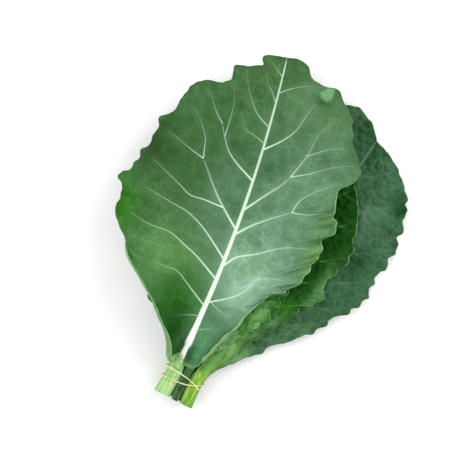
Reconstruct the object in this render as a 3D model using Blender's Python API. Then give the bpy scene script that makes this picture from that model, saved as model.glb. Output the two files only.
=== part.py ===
"""A market bunch of collard greens: five big leaves laid on each other and tied round their stems.

The bunch lies on its back. +Y runs from the cut stem ends to the leaf tips, +X to the right as seen
from above and +Z up. The origin is the bottom centre of the whole bunch. Every leaf is one solid,
stem, midrib and blade together, because it grew as one piece. The tie is one rubber band, wound
twice round the stems.
"""

import math
from dataclasses import dataclass

import bmesh
import bpy
import numpy as np
from mathutils import Vector
from mathutils.bvhtree import BVHTree
from mathutils.geometry import convex_hull_2d

MM = 0.001

# Leaves
LEAF_LENGTH = 335 * MM  # the longest leaf, from the tie to its tip
BLADE_THICKNESS = 1.0 * MM  # a collard blade with its small veins
STEM_WIDTH = 15 * MM
STEM_HEIGHT = 11 * MM
STEM_GAP = 0.7 * MM  # between neighbouring stems under the tie
STEM_BELOW_TIE = 25 * MM  # from the stems' own start, inside the tie, to the cut
STEM_ABOVE_TIE = 9 * MM  # from the same place to the first green of the blade
STEM_FLARE = 0.10  # how far the stem ends lean apart below the tie
RIB_BASE_WIDTH = 7 * MM  # the midrib just above the stem
RIB_TIP_WIDTH = 1.4 * MM
RIB_TIP_DEPTH = 0.6 * MM
RIB_CROWN = 0.5 * MM  # the midrib's rise over the blade's upper side
LEAF_GAP = 1.6 * MM  # air between one leaf and the next

# Tie
BAND_THICKNESS = 1.4 * MM
BAND_TURNS = 2
BAND_MIDDLE = -2.5 * MM  # where the turns cross, along the stems from their start
BAND_SPREAD = 6.0 * MM  # how far the turns part along the stems, each way
BAND_SUDDENNESS = 0.4  # smaller values make the turns part more suddenly after the crossing
BAND_CROSSING = 14 * MM  # the crossing's place across the top of the bunch
BAND_GAP = 0.3 * MM

# How finely each leaf is divided
STATIONS = 29  # cross rows from the base of the blade to its tip
CROWDING = 1.3  # above 1 the rows stand closer together near the base
STEM_STATIONS = 5
RIB_COLUMNS = (0.0, 0.6, 1.0)  # shares of the midrib's half width
BLADE_COLUMNS = (0.16, 0.36, 0.58, 0.8, 1.0)  # shares of the way from the midrib's side to the margin
VEIN_SWEEP = 0.55  # how far the side veins run towards the tip for each step outwards

# How the leaves settle on the table and on each other
SAG = 0.05 * MM  # pull on each point in each round
ROUNDS = 1500


@dataclass
class Leaf:
    """One leaf. Outline points are (along, across) as shares of its length, from base to tip."""

    name: str
    row: int  # the stems lie in two rows, and row 0 is the lower one
    length: float  # share of LEAF_LENGTH
    stem: float  # stem width as a share of STEM_WIDTH
    heading: float  # degrees to the right of +Y
    sway: float  # how far the midrib bows to the right, as a share of the length
    left: list
    right: list
    left_rise: list  # height of the margin over the midrib in mm, at even steps from base to tip
    right_rise: list
    wave: float  # height of the margin's waves, in mm
    waves: float  # how many waves each margin has
    phase: float
    colour: tuple


# From the table upwards. In each row the stems stand side by side from left to right.
LEAVES = [
    Leaf(
        "leaf_bottom", 0, 0.865, 1.0, -11.0, 0.02,
        [(0.055, 0.042), (0.085, 0.064), (0.13, 0.092), (0.225, 0.168), (0.35, 0.240), (0.46, 0.285),
         (0.585, 0.295), (0.72, 0.260), (0.85, 0.187), (0.945, 0.09)],
        [(0.10, 0.024), (0.16, 0.08), (0.25, 0.19), (0.335, 0.25), (0.505, 0.28), (0.69, 0.255),
         (0.84, 0.187), (0.955, 0.095)],
        [0, 4, 6, 5, 3, 0], [0, 3, 4, 4, 3, 0], 4.0, 5.0, 0.6, (0.10, 0.26, 0.10, 1),
    ),
    Leaf(
        "leaf_right", 0, 0.92, 1.0, 11.0, 0.015,
        [(0.10, 0.024), (0.16, 0.07), (0.30, 0.18), (0.44, 0.26), (0.60, 0.30), (0.765, 0.30),
         (0.90, 0.255), (1.00, 0.18), (1.025, 0.10), (1.015, 0.045)],
        [(0.05, 0.034), (0.116, 0.070), (0.187, 0.112), (0.26, 0.150), (0.318, 0.188), (0.375, 0.228),
         (0.462, 0.254), (0.55, 0.284), (0.653, 0.286), (0.735, 0.284), (0.815, 0.258), (0.90, 0.214),
         (0.955, 0.13)],
        [0, 3, 5, 6, 4, 2], [0, 2, 2, 1, 1, 0], 4.5, 6.0, 2.0, (0.12, 0.25, 0.14, 1),
    ),
    Leaf(
        "leaf_front", 1, 1.0, 1.13, -7.2, 0.03,
        [(0.045, 0.027), (0.095, 0.050), (0.144, 0.098), (0.243, 0.194), (0.339, 0.274), (0.45, 0.334),
         (0.54, 0.322), (0.68, 0.296), (0.80, 0.247), (0.86, 0.165), (0.925, 0.130), (0.98, 0.065)],
        [(0.040, 0.050), (0.065, 0.075), (0.129, 0.096), (0.197, 0.131), (0.255, 0.152), (0.319, 0.185),
         (0.365, 0.226), (0.42, 0.274), (0.52, 0.283), (0.585, 0.303), (0.64, 0.284), (0.70, 0.294),
         (0.75, 0.314), (0.823, 0.272), (0.892, 0.244), (0.945, 0.168), (0.99, 0.08)],
        [16, 30, 20, 13, 9, 4], [4, 6, 8, 8, 7, 4], 3.5, 7.0, 0.4, (0.16, 0.34, 0.17, 1),
    ),
    Leaf(
        "leaf_second", 1, 0.835, 0.50, -1.3, 0.01,
        [(0.12, 0.022), (0.20, 0.12), (0.30, 0.21), (0.47, 0.285), (0.65, 0.30), (0.83, 0.24),
         (0.95, 0.13)],
        [(0.09, 0.026), (0.15, 0.064), (0.20, 0.097), (0.276, 0.145), (0.322, 0.175), (0.42, 0.180),
         (0.55, 0.198), (0.71, 0.193), (0.85, 0.158), (0.955, 0.08)],
        [0, 4, 7, 7, 5, 2], [0, 4, 5, 4, 3, 2], 4.0, 6.5, 1.2, (0.12, 0.34, 0.09, 1),
    ),
    Leaf(
        "leaf_middle", 1, 0.812, 0.93, 7.2, 0.03,
        [(0.10, 0.024), (0.19, 0.10), (0.29, 0.19), (0.41, 0.255), (0.60, 0.295), (0.80, 0.25),
         (0.94, 0.14)],
        [(0.10, 0.040), (0.17, 0.062), (0.24, 0.086), (0.30, 0.122), (0.364, 0.150), (0.432, 0.174),
         (0.50, 0.207), (0.57, 0.200), (0.65, 0.208), (0.71, 0.211), (0.78, 0.188), (0.88, 0.13),
         (0.955, 0.065)],
        [0, 3, 5, 6, 5, 2], [0, 3, 5, 5, 4, 2], 4.0, 6.0, 0.0, (0.07, 0.25, 0.06, 1),
    ),
]
LAYING_ORDER = ["leaf_bottom", "leaf_right", "leaf_middle", "leaf_second", "leaf_front"]


def spline(points, shares):
    """Points at the given shares of the length of a smooth curve through the given ones."""
    p = np.array(points, float)
    p = np.vstack([2 * p[0] - p[1], p, 2 * p[-1] - p[-2]])
    t = np.linspace(0, 1, 12, endpoint=False)[:, None]
    dense = [
        0.5 * (2 * b + (c - a) * t + (2 * a - 5 * b + 4 * c - d) * t**2 + (3 * b - a - 3 * c + d) * t**3)
        for a, b, c, d in zip(p, p[1:], p[2:], p[3:])
    ]
    dense = np.vstack([*dense, p[-2]])
    run = np.concatenate([[0], np.cumsum(np.linalg.norm(np.diff(dense, axis=0), axis=1))])
    at = np.asarray(shares) * run[-1]
    return np.column_stack([np.interp(at, run, dense[:, k]) for k in range(p.shape[1])])


def band_lift():
    """Each turn of the band rides from 0 to 2 of these above the stems as it crosses the other."""
    return (BAND_THICKNESS + BAND_GAP) / 2


def stem_centre(leaf):
    """The middle of a leaf's stem where it passes through the tie."""
    row = [other for other in LEAVES if other.row == leaf.row]
    widths = [other.stem * STEM_WIDTH + STEM_GAP for other in row]
    place = row.index(leaf)
    x = sum(widths[:place]) + widths[place] / 2 - sum(widths) / 2
    lowest = BAND_GAP + BAND_THICKNESS + 2 * band_lift() + STEM_HEIGHT / 2
    return Vector((x, 0, lowest + leaf.row * (STEM_HEIGHT + STEM_GAP)))


def rib_half_width(leaf, along):
    """Half the midrib's width at each share of the leaf's length, wide as the stem at its root."""
    taper = RIB_TIP_WIDTH + (RIB_BASE_WIDTH - RIB_TIP_WIDTH) * (1 - along)
    root = np.clip(1 - along / 0.2, 0, 1) ** 2
    return (taper + (leaf.stem * STEM_WIDTH - RIB_BASE_WIDTH) * root) / 2


def rib_depth(along):
    """How far the midrib stands out under the blade."""
    root = STEM_HEIGHT * 0.86 - BLADE_THICKNESS
    return RIB_TIP_DEPTH + (root - RIB_TIP_DEPTH) * (1 - along) ** 2.2


def stations():
    """Where the leaf's cross rows meet its margin, as shares of the margin from base to tip."""
    return np.linspace(0, 1, STATIONS) ** CROWDING


def half_columns():
    """The columns of one half of the leaf: shares of the midrib's half width and of the blade beyond."""
    rib = [*RIB_COLUMNS, *[1.0] * len(BLADE_COLUMNS)]
    blade = [*[0.0] * len(RIB_COLUMNS), *BLADE_COLUMNS]
    return np.array(rib), np.array(blade)


def margin(leaf, outline):
    """The margin of one half at each cross row, as shares of the leaf's length along and across."""
    length = leaf.length * LEAF_LENGTH
    root = (STEM_ABOVE_TIE / length, leaf.stem * STEM_WIDTH / 2 / length)
    return spline([root, *outline, (1.0, 0.0)], stations())


def midrib_stations(leaf):
    """Where the cross rows leave the midrib: behind the margin, because the side veins lean forward."""
    edge = (margin(leaf, leaf.left) + margin(leaf, leaf.right)) / 2
    leaning = edge[:, 0] - VEIN_SWEEP * np.maximum(edge[:, 1] - edge[0, 1], 0)
    forward = np.maximum.accumulate(leaning)
    return 0.9 * forward + 0.1 * np.linspace(edge[0, 0], 1, STATIONS)


def half_blade(leaf, outline, sign, along):
    """One half of the blade seen from above, as x and y for each row and column, stem at the origin."""
    heading = math.radians(leaf.heading)
    forward = np.array([math.sin(heading), math.cos(heading)])
    side = np.array([math.cos(heading), -math.sin(heading)])
    edge = margin(leaf, outline)

    def place(u, v):
        return leaf.length * LEAF_LENGTH * (u[:, None] * forward + v[:, None] * side)

    middle = place(along, leaf.sway * 4 * along * (1 - along))
    reach = place(edge[:, 0], sign * edge[:, 1]) - middle
    far = np.maximum(np.linalg.norm(reach, axis=1), 1e-9)
    reach /= far[:, None]
    lean = np.clip(np.abs(reach @ side), 0.35, 1)
    rib_side = np.minimum(rib_half_width(leaf, along) / lean, 0.6 * far)
    rib, blade = half_columns()
    out = rib_side[:, None] * rib + (far - rib_side)[:, None] * blade
    return middle[:, None] + out[..., None] * reach[:, None]


def half_heights(leaf, rises, sign, along):
    """Upper and lower heights of one half of a leaf before it settles."""
    down = stations()
    rib, blade = half_columns()
    rise = np.interp(down, np.linspace(0, 1, len(rises)), rises) * MM
    wave = np.sin(2 * math.pi * leaf.waves * down + leaf.phase + sign) * leaf.wave * MM
    wave *= np.sqrt(np.sin(math.pi * np.clip(down, 0, 1)))
    arch = np.sqrt(1 - rib**2)
    blade_top = stem_centre(leaf).z + STEM_HEIGHT / 2 - RIB_CROWN
    blade_top = blade_top + rise[:, None] * blade**1.5 + wave[:, None] * blade**2.5
    ridge = rib_depth(along)[:, None] * np.minimum(1, 1.25 * arch)
    return blade_top + RIB_CROWN * arch, blade_top - BLADE_THICKNESS - ridge


def free_shape(leaf):
    """The upper and lower surface of a leaf's blade before it settles, as rows of points."""
    along = midrib_stations(leaf)
    surfaces = ([], [])
    for sign, outline, rises in ((-1, leaf.left, leaf.left_rise), (1, leaf.right, leaf.right_rise)):
        flat = half_blade(leaf, outline, sign, along) + np.array([stem_centre(leaf).x, 0])
        for surface, height in zip(surfaces, half_heights(leaf, rises, sign, along)):
            half = np.dstack([flat, height])
            surface.append(half[:, :0:-1] if sign < 0 else half)
    return [np.concatenate(halves, axis=1) for halves in surfaces]


def stem_rings(leaf, count):
    """Oval rings of the stem from its cut end up to the blade, split into upper and lower arcs."""
    centre = stem_centre(leaf)
    lean = math.tan(math.radians(leaf.heading))
    half = count // 2
    wing = len(BLADE_COLUMNS)
    over = np.radians(np.linspace(90, 30, half + 1))
    keel = np.linspace(-90, -20, half - wing + 1)
    under = np.radians(np.concatenate([keel, np.linspace(-12, 20, wing)]))
    rings = ([], [])
    for y in np.linspace(-STEM_BELOW_TIE, STEM_ABOVE_TIE, STEM_STATIONS):
        past_tie = max(0.0, BAND_MIDDLE - BAND_SPREAD - y)
        drift = max(0.0, y) * lean + past_tie * STEM_FLARE * centre.x / STEM_WIDTH
        for ring, arc in zip(rings, (over, under)):
            angle = np.concatenate([math.pi - arc[:0:-1], arc])
            x = centre.x + drift + leaf.stem * STEM_WIDTH / 2 * np.cos(angle)
            z = centre.z + STEM_HEIGHT / 2 * np.sin(angle)
            ring.append(np.column_stack([x, np.full(count, y), z]))
    return np.array(rings[0]), np.array(rings[1])


def needed_lift(lower, below):
    """How far each point of a leaf's underside has to rise to clear the table and what lies below it."""
    need = -lower[..., 2]
    if below is None:
        return need
    shares = (0.0, 0.2, 0.4, 0.6, 0.8, 1.0)
    rows, columns = need.shape
    for i, j in np.ndindex(rows - 1, columns - 1):
        past_margin = [-0.15] * (j == 0) + [1.15] * (j == columns - 2)
        for u in shares:
            left, right = lower[i, j:j + 2] * (1 - u) + lower[i + 1, j:j + 2] * u
            for v in (*shares, *past_margin):
                x, y, z = left * (1 - v) + right * v
                hit = below.ray_cast(Vector((x, y, 1.0)), Vector((0, 0, -1)))[0]
                if hit is None or i == 0 and u == 0:
                    continue
                rise = (hit.z + LEAF_GAP - z) / (u if i == 0 else 1)
                corners = need[i:i + 2, j:j + 2]
                np.maximum(corners, rise, out=corners)
    return need


def settle(need):
    """Lets a leaf sag under its own weight until it lies on what is below it. Its stem end is held."""
    lift = np.zeros_like(need)
    for _ in range(ROUNDS):
        padded = np.pad(lift, 1, mode="edge")
        mean = (padded[:-2, 1:-1] + padded[2:, 1:-1] + padded[1:-1, :-2] + padded[1:-1, 2:]) / 4
        lift = np.maximum(mean - SAG, need)
        lift[0] = 0.0
    return lift


def leaf_surfaces(leaf, below):
    """Upper and lower surface of a whole leaf, stem and settled blade, as rows of points."""
    upper, lower = free_shape(leaf)
    stem_upper, stem_lower = stem_rings(leaf, upper.shape[1])
    upper[0], lower[0] = stem_upper[-1], stem_lower[-1]
    lift = settle(needed_lift(lower, below))
    upper[..., 2] += lift
    lower[..., 2] += lift
    return np.vstack([stem_upper, upper[1:]]), np.vstack([stem_lower, lower[1:]])


def leaf_mesh(name, upper, lower):
    """A closed solid from a leaf's two surfaces, with a flat cut at the stem and a point at the tip."""
    bm = bmesh.new()
    rings = []
    for top, bottom in zip(upper[:-1], lower[:-1]):
        rings.append([bm.verts.new(p) for p in [*top, *bottom[::-1]]])
    columns = upper.shape[1]
    high = bm.verts.new(upper[-1][columns // 2])
    low = bm.verts.new(lower[-1][columns // 2])
    rings.append([high] * columns + [low] * columns)
    for near, far in zip(rings, rings[1:]):
        for i, corner in enumerate(near):
            j = (i + 1) % len(near)
            corners = dict.fromkeys([corner, far[i], far[j], near[j]])
            if len(corners) > 2:
                bm.faces.new(corners)
    bm.faces.new(rings[0])
    bmesh.ops.recalc_face_normals(bm, faces=bm.faces)
    mesh = bpy.data.meshes.new(name)
    bm.to_mesh(mesh)
    bm.free()
    mesh.shade_smooth()
    mesh.set_sharp_from_angle(angle=math.radians(50))
    return mesh


def material(name, colour, roughness):
    made = bpy.data.materials.new(name)
    made.use_nodes = True
    shader = made.node_tree.nodes["Principled BSDF"]
    shader.inputs["Base Color"].default_value = colour
    shader.inputs["Roughness"].default_value = roughness
    shader.inputs["Metallic"].default_value = 0.0
    return made


def add_leaves(holder):
    """The leaves from the table upwards, each laid on those before it."""
    points, faces, below = [], [], None
    for leaf in sorted(LEAVES, key=lambda each: LAYING_ORDER.index(each.name)):
        upper, lower = leaf_surfaces(leaf, below)
        anchor = stem_centre(leaf)
        mesh = leaf_mesh(leaf.name, upper - np.array(anchor), lower - np.array(anchor))
        mesh.materials.append(material(leaf.name, leaf.colour, 0.5))
        obj = bpy.data.objects.new(leaf.name, mesh)
        obj.location = anchor
        obj.parent = holder
        bpy.context.collection.objects.link(obj)
        start = len(points)
        points += [v.co + anchor for v in mesh.vertices]
        faces += [[start + i for i in polygon.vertices] for polygon in mesh.polygons]
        below = BVHTree.FromPolygons(points, faces)


def stem_outline():
    """The stretched outline round all the stems, half a band's thickness outside them, as (x, z) points."""
    reach = BAND_GAP + BAND_THICKNESS / 2
    points = []
    for leaf in LEAVES:
        centre = stem_centre(leaf)
        drift = (BAND_MIDDLE + BAND_SPREAD) * math.tan(math.radians(leaf.heading))
        for angle in np.linspace(0, 2 * math.pi, 48, endpoint=False):
            x = centre.x + (leaf.stem * STEM_WIDTH / 2 + reach) * math.cos(angle)
            z = centre.z + (STEM_HEIGHT / 2 + reach) * math.sin(angle)
            points += [(x, z), (x + drift, z)]
    hull = [points[i] for i in convex_hull_2d(points)]
    return spline([*hull, hull[0]], np.linspace(0, 1, 145))[:-1]


def add_band(holder):
    """One rubber band wound twice round the stems. Its two turns cross once, on top of the bunch."""
    outline = stem_outline()
    middle = outline.mean(axis=0)
    off_crossing = np.abs(outline[:, 0] - BAND_CROSSING) + (outline[:, 1] < middle[1])
    outline = np.roll(outline, -np.argmin(off_crossing), axis=0)
    curve = bpy.data.curves.new("tie_band", "CURVE")
    curve.dimensions = "3D"
    curve.bevel_depth = BAND_THICKNESS / 2
    curve.bevel_resolution = 1
    curve.resolution_u = 1
    curve.materials.append(material("rubber", (0.80, 0.72, 0.45, 1), 0.6))
    path = curve.splines.new("POLY")
    skip = 3
    count = BAND_TURNS * len(outline) // skip
    path.points.add(count - 1)
    for i in range(count):
        spot = outline[i * skip % len(outline)]
        swing = 2 * math.pi * (BAND_TURNS - 1) * i / count
        outward = (spot - middle) / np.linalg.norm(spot - middle)
        x, z = spot + outward * band_lift() * (1 + math.cos(swing))
        parting = math.sin(swing) / math.hypot(math.sin(swing), BAND_SUDDENNESS)
        path.points[i].co = (x, BAND_MIDDLE + BAND_SPREAD * parting, z, 1)
    path.use_cyclic_u = True
    obj = bpy.data.objects.new("tie_band", curve)
    obj.parent = holder
    bpy.context.collection.objects.link(obj)


def centre_on_origin(holder):
    """Moves the bunch so that the bottom centre of its box is the origin."""
    bpy.context.view_layer.update()
    depsgraph = bpy.context.evaluated_depsgraph_get()
    corners = []
    for obj in holder.children:
        shape = obj.evaluated_get(depsgraph)
        mesh = shape.to_mesh()
        corners += [shape.matrix_world @ v.co for v in mesh.vertices]
        shape.to_mesh_clear()
    low = np.min(corners, axis=0)
    high = np.max(corners, axis=0)
    holder.location = (-(low[0] + high[0]) / 2, -(low[1] + high[1]) / 2, -low[2])


def main():
    for obj in list(bpy.data.objects):
        bpy.data.objects.remove(obj)
    holder = bpy.data.objects.new("bunch", None)
    bpy.context.collection.objects.link(holder)
    add_leaves(holder)
    add_band(holder)
    centre_on_origin(holder)


main()
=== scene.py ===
"""How the bunch of collard greens looks: fine leaves with veins, puckers and ruffled margins, cut stems
and the rubber band. The leaves are laid the same way as the solids, then refined."""

import math
from dataclasses import dataclass

import bpy
import numpy as np
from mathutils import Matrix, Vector
from mathutils.bvhtree import BVHTree
from mathutils.geometry import convex_hull_2d
from mathutils.kdtree import KDTree


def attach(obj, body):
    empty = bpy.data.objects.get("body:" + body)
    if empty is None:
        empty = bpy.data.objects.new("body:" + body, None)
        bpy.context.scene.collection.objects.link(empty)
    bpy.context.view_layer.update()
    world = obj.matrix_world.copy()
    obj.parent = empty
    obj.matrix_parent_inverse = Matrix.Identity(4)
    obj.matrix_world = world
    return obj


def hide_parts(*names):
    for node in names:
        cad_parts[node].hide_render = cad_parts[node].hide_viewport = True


MM = 0.001
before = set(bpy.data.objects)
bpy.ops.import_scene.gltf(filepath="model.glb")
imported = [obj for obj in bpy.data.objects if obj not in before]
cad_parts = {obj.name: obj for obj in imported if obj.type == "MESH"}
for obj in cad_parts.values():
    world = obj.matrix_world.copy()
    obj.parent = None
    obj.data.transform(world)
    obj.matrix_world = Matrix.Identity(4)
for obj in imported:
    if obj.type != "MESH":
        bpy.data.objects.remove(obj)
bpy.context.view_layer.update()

# The bunch's own sizes, as in the solids
LEAF_LENGTH = 335 * MM
BLADE_THICKNESS = 1.0 * MM
STEM_WIDTH = 15 * MM
STEM_HEIGHT = 11 * MM
STEM_GAP = 0.7 * MM
STEM_BELOW_TIE = 25 * MM
STEM_ABOVE_TIE = 9 * MM
STEM_FLARE = 0.10
RIB_BASE_WIDTH = 7 * MM
RIB_TIP_WIDTH = 1.4 * MM
RIB_TIP_DEPTH = 0.6 * MM
RIB_CROWN = 0.5 * MM
LEAF_GAP = 1.6 * MM
BAND_THICKNESS = 1.4 * MM
BAND_TURNS = 2
BAND_MIDDLE = -2.5 * MM
BAND_SPREAD = 6.0 * MM
BAND_SUDDENNESS = 0.4
BAND_CROSSING = 14 * MM
BAND_GAP = 0.3 * MM
STATIONS = 29
CROWDING = 1.3
STEM_STATIONS = 5
RIB_COLUMNS = (0.0, 0.6, 1.0)
BLADE_COLUMNS = (0.16, 0.36, 0.58, 0.8, 1.0)
VEIN_SWEEP = 0.55
SAG = 0.05 * MM
ROUNDS = 1500

# The fine leaves
MARGIN_THICKNESS = 0.4 * MM
CLEARANCE = 0.5 * MM
TABLE_CLEARANCE = 0.05 * MM
SMOOTHING_ROUNDS = 60
FRILL_PITCH = 14 * MM
ROLL_HINGE = 0.78  # share of the blade's half width at which a margin starts to roll
ROLL_TURN = 1.15  # how far a margin rolls over, in half turns
NET_JITTER = 0.42  # how far the net's meshes stray from their grid, in meshes
VEIN_STEP = 1.6 * MM
VEIN_PROFILE = np.array([(-1, -0.22), (-0.55, 0.55), (0, 0.85), (0.55, 0.55), (1, -0.22)])
VEIN_HEIGHTS = (0.42, 0.45)  # shares of a vein's half width, on the upper side and the underside
VEIN_WIDENINGS = (1, 1.15)
THIN_VEIN = 1.6  # widest root, in mm, of a vein that is drawn fainter
CUT_LEVELS = (1.0, 0.86, 0.6, 0.3)  # rings of a stem's cut end, as shares of its size
CUT_DEPTH = 0.5 * MM
FOLD_RINGS, FOLD_SPOKES = 7, 28
BAND_SAMPLES = 288
BAND_SLIMNESS = 0.9
BAND_THINNING = 0.12

# The studio: name, place in m, size in m and power in W of each lamp
LAMPS = (("key", (0.60, 0.85, 1.05), 0.9, 10), ("fill", (-0.9, -0.2, 1.1), 1.2, 8))
WORLD_STRENGTH = 0.90
FLOOR_SIZE = 6
CAMERA_PLACE = (-0.0309, 0.1543, 1.10)
CAMERA_TURN = 27
LENS = 85


@dataclass
class Leaf:
    """One leaf. Outline points are (along, across) as shares of its length, from base to tip."""

    name: str
    row: int
    length: float
    stem: float
    heading: float
    sway: float
    left: list
    right: list
    left_rise: list  # heights of the left margin from base to tip, in mm
    right_rise: list
    wave: float  # height of the margin's broad waves, in mm
    waves: float
    phase: float
    cell: float  # size of the fine mesh's cells in mm
    ruffle: float  # height of the margin's small ruffles, in mm
    pucker: float  # how far the blade bulges between its veins, in mm
    mesh: float  # size of the meshes of the net of small veins, in mm
    quilt: float  # height of the pillows between them, in mm


def pairs(*thousandths):
    """Points as (along, across), from shares in thousandths."""
    shares = [value / 1000 for value in thousandths]
    return list(zip(shares[::2], shares[1::2]))


LEAVES = [
    Leaf(
        "leaf_bottom", 0, 0.865, 1.0, -11.0, 0.02,
        pairs(55, 42, 85, 64, 130, 92, 225, 168, 350, 240, 460, 285, 585, 295, 720, 260, 850, 187,
              945, 90),
        pairs(100, 24, 160, 80, 250, 190, 335, 250, 505, 280, 690, 255, 840, 187, 955, 95),
        [0, 4, 6, 5, 3, 0], [0, 3, 4, 4, 3, 0], 4.0, 5.0, 0.6, 2.4, 1.5, 1.0, 14, 0.8,
    ),
    Leaf(
        "leaf_right", 0, 0.92, 1.0, 11.0, 0.015,
        pairs(100, 24, 160, 70, 300, 180, 440, 260, 600, 300, 765, 300, 900, 255, 1000, 180,
              1025, 100, 1015, 45),
        pairs(50, 34, 116, 70, 187, 112, 260, 150, 318, 188, 375, 228, 462, 254, 550, 284,
              653, 286, 735, 284, 815, 258, 900, 214, 955, 130),
        [0, 3, 5, 6, 4, 2], [0, 2, 2, 1, 1, 0], 4.5, 6.0, 2.0, 1.6, 2.4, 2.4, 9, 2.0,
    ),
    Leaf(
        "leaf_front", 1, 1.0, 1.13, -7.2, 0.03,
        pairs(45, 27, 95, 50, 144, 98, 243, 194, 339, 274, 450, 334, 540, 322, 680, 296, 800, 247,
              860, 165, 925, 130, 980, 65),
        pairs(40, 50, 65, 75, 129, 96, 197, 131, 255, 152, 319, 185, 365, 226, 420, 274, 520, 283,
              585, 303, 640, 284, 700, 294, 750, 314, 823, 272, 892, 244, 945, 168, 990, 80),
        [16, 30, 20, 13, 9, 4], [4, 6, 8, 8, 7, 4], 3.5, 7.0, 0.4, 1.58, 1.6, 2.4, 15, 0.4,
    ),
    Leaf(
        "leaf_second", 1, 0.835, 0.5, -1.3, 0.01,
        pairs(120, 22, 200, 120, 300, 210, 470, 285, 650, 300, 830, 240, 950, 130),
        pairs(90, 26, 150, 64, 200, 97, 276, 145, 322, 175, 420, 180, 550, 198, 710, 193, 850, 158,
              955, 80),
        [0, 4, 7, 7, 5, 2], [0, 4, 5, 4, 3, 2], 4.0, 6.5, 1.2, 1.5, 3.0, 1.8, 9, 2.4,
    ),
    Leaf(
        "leaf_middle", 1, 0.812, 0.93, 7.2, 0.03,
        pairs(100, 24, 190, 100, 290, 190, 410, 255, 600, 295, 800, 250, 940, 140),
        pairs(100, 40, 170, 62, 240, 86, 300, 122, 364, 150, 432, 174, 500, 207, 570, 200,
              650, 208, 710, 211, 780, 188, 880, 130, 955, 65),
        [0, 3, 5, 6, 5, 2], [0, 3, 5, 5, 4, 2], 4.0, 6.0, 0.0, 1.6, 2.6, 1.6, 10, 2.2,
    ),
]
LAYING_ORDER = ["leaf_bottom", "leaf_right", "leaf_middle", "leaf_second", "leaf_front"]
LAID_LEAVES = sorted(LEAVES, key=lambda leaf: LAYING_ORDER.index(leaf.name))

# The margins' true scallops, as outline points like those of the leaves: (left, right)
SCALLOPS = {
    "leaf_front": (
        pairs(45, 30, 66, 37, 93, 52, 144, 94, 194, 136, 243, 190, 276, 235, 310, 257, 339, 272,
              366, 300, 393, 318, 442, 323, 476, 328, 492, 347, 512, 340, 524, 322, 552, 318,
              570, 306, 590, 311, 612, 300, 637, 294, 668, 287, 698, 293, 715, 276, 741, 259,
              770, 256, 799, 244, 820, 238, 838, 222, 853, 195, 856, 170, 866, 148, 880, 134,
              902, 136, 921, 139, 930, 120, 934, 98, 948, 72, 953, 60, 975, 70, 986, 60, 995, 20),
        pairs(40, 55, 65, 73, 100, 88, 129, 98, 160, 112, 197, 133, 225, 141, 255, 154, 285, 172,
              305, 180, 322, 196, 335, 226, 352, 233, 365, 252, 379, 263, 400, 264, 419, 277,
              445, 276, 470, 290, 502, 287, 520, 280, 538, 296, 551, 308, 584, 306, 594, 288,
              612, 294, 631, 286, 655, 276, 680, 278, 698, 298, 718, 314, 750, 321, 773, 309,
              798, 290, 823, 270, 850, 266, 872, 252, 892, 250, 915, 225, 930, 202, 950, 185,
              959, 163, 956, 130, 964, 97, 985, 78, 995, 66, 1006, 37),
    ),
    "leaf_bottom": (
        pairs(55, 38, 85, 60, 130, 88, 185, 128, 205, 150, 215, 170, 232, 178, 244, 168, 262, 172,
              300, 196, 350, 230, 460, 275, 585, 290, 720, 258, 850, 187, 945, 90),
        None,
    ),
    "leaf_right": (
        pairs(100, 24, 160, 70, 300, 180, 440, 260, 600, 300, 765, 310, 900, 272, 985, 218,
              1012, 190, 1032, 150, 1050, 112, 1043, 78, 1034, 45, 1014, 18),
        pairs(40, 36, 83, 53, 120, 75, 148, 88, 187, 113, 207, 131, 235, 136, 260, 150, 290, 176,
              318, 190, 345, 202, 362, 222, 385, 224, 410, 242, 436, 240, 462, 254, 487, 276,
              505, 272, 527, 291, 548, 286, 571, 298, 592, 281, 620, 285, 653, 271, 680, 284,
              712, 268, 740, 279, 770, 267, 790, 252, 815, 253, 838, 231, 869, 224, 890, 206,
              912, 202, 922, 178, 940, 160, 958, 130, 975, 105, 988, 60),
    ),
    "leaf_middle": (
        None,
        pairs(65, 28, 102, 43, 175, 64, 220, 74, 262, 100, 290, 108, 318, 130, 345, 134, 364, 151,
              395, 150, 420, 170, 445, 166, 468, 196, 490, 204, 520, 218, 545, 200, 566, 193,
              599, 196, 625, 210, 649, 204, 680, 218, 705, 210, 735, 210, 769, 190, 790, 188,
              818, 170, 887, 126, 953, 65),
    ),
    "leaf_second": (
        None,
        pairs(70, 18, 117, 38, 149, 72, 180, 100, 200, 104, 219, 130, 248, 132, 276, 152, 300, 156,
              322, 182, 350, 173, 375, 190, 407, 184, 430, 196, 480, 196, 532, 206, 711, 200,
              854, 168, 956, 82),
    ),
}

# Where a margin is folded like a frill: side, start, end, height in mm
FRILLS = {
    "leaf_front": (1, 0.29, 0.64, 6.0),
    "leaf_second": (1, 0.14, 0.50, 5.0),
    "leaf_middle": (1, 0.26, 0.80, 4.0),
}
# Small folds of the front leaf's blade: middle, half length, half width and height in mm, the way
# that the fold runs, its share of the stem's colour and its own colour
FOLDS = [
    ((-12.5, 12.0), 10.5, 5.6, 3.6, (0.62, -0.78), 0.9, (0.200, 0.420, 0.170)),
    ((-0.6, 316.8), 8.5, 6.8, 2.8, (0.45, 0.89), 0.0, (0.125, 0.300, 0.130)),
]
# Where the front leaf's margins roll over: side, start, length of the fade, end, radius in mm
ROLLS = [(-1, 0.02, 0.16, 0.36, 5.6), (1, 0.05, 0.16, 0.36, 2.8)]

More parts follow.
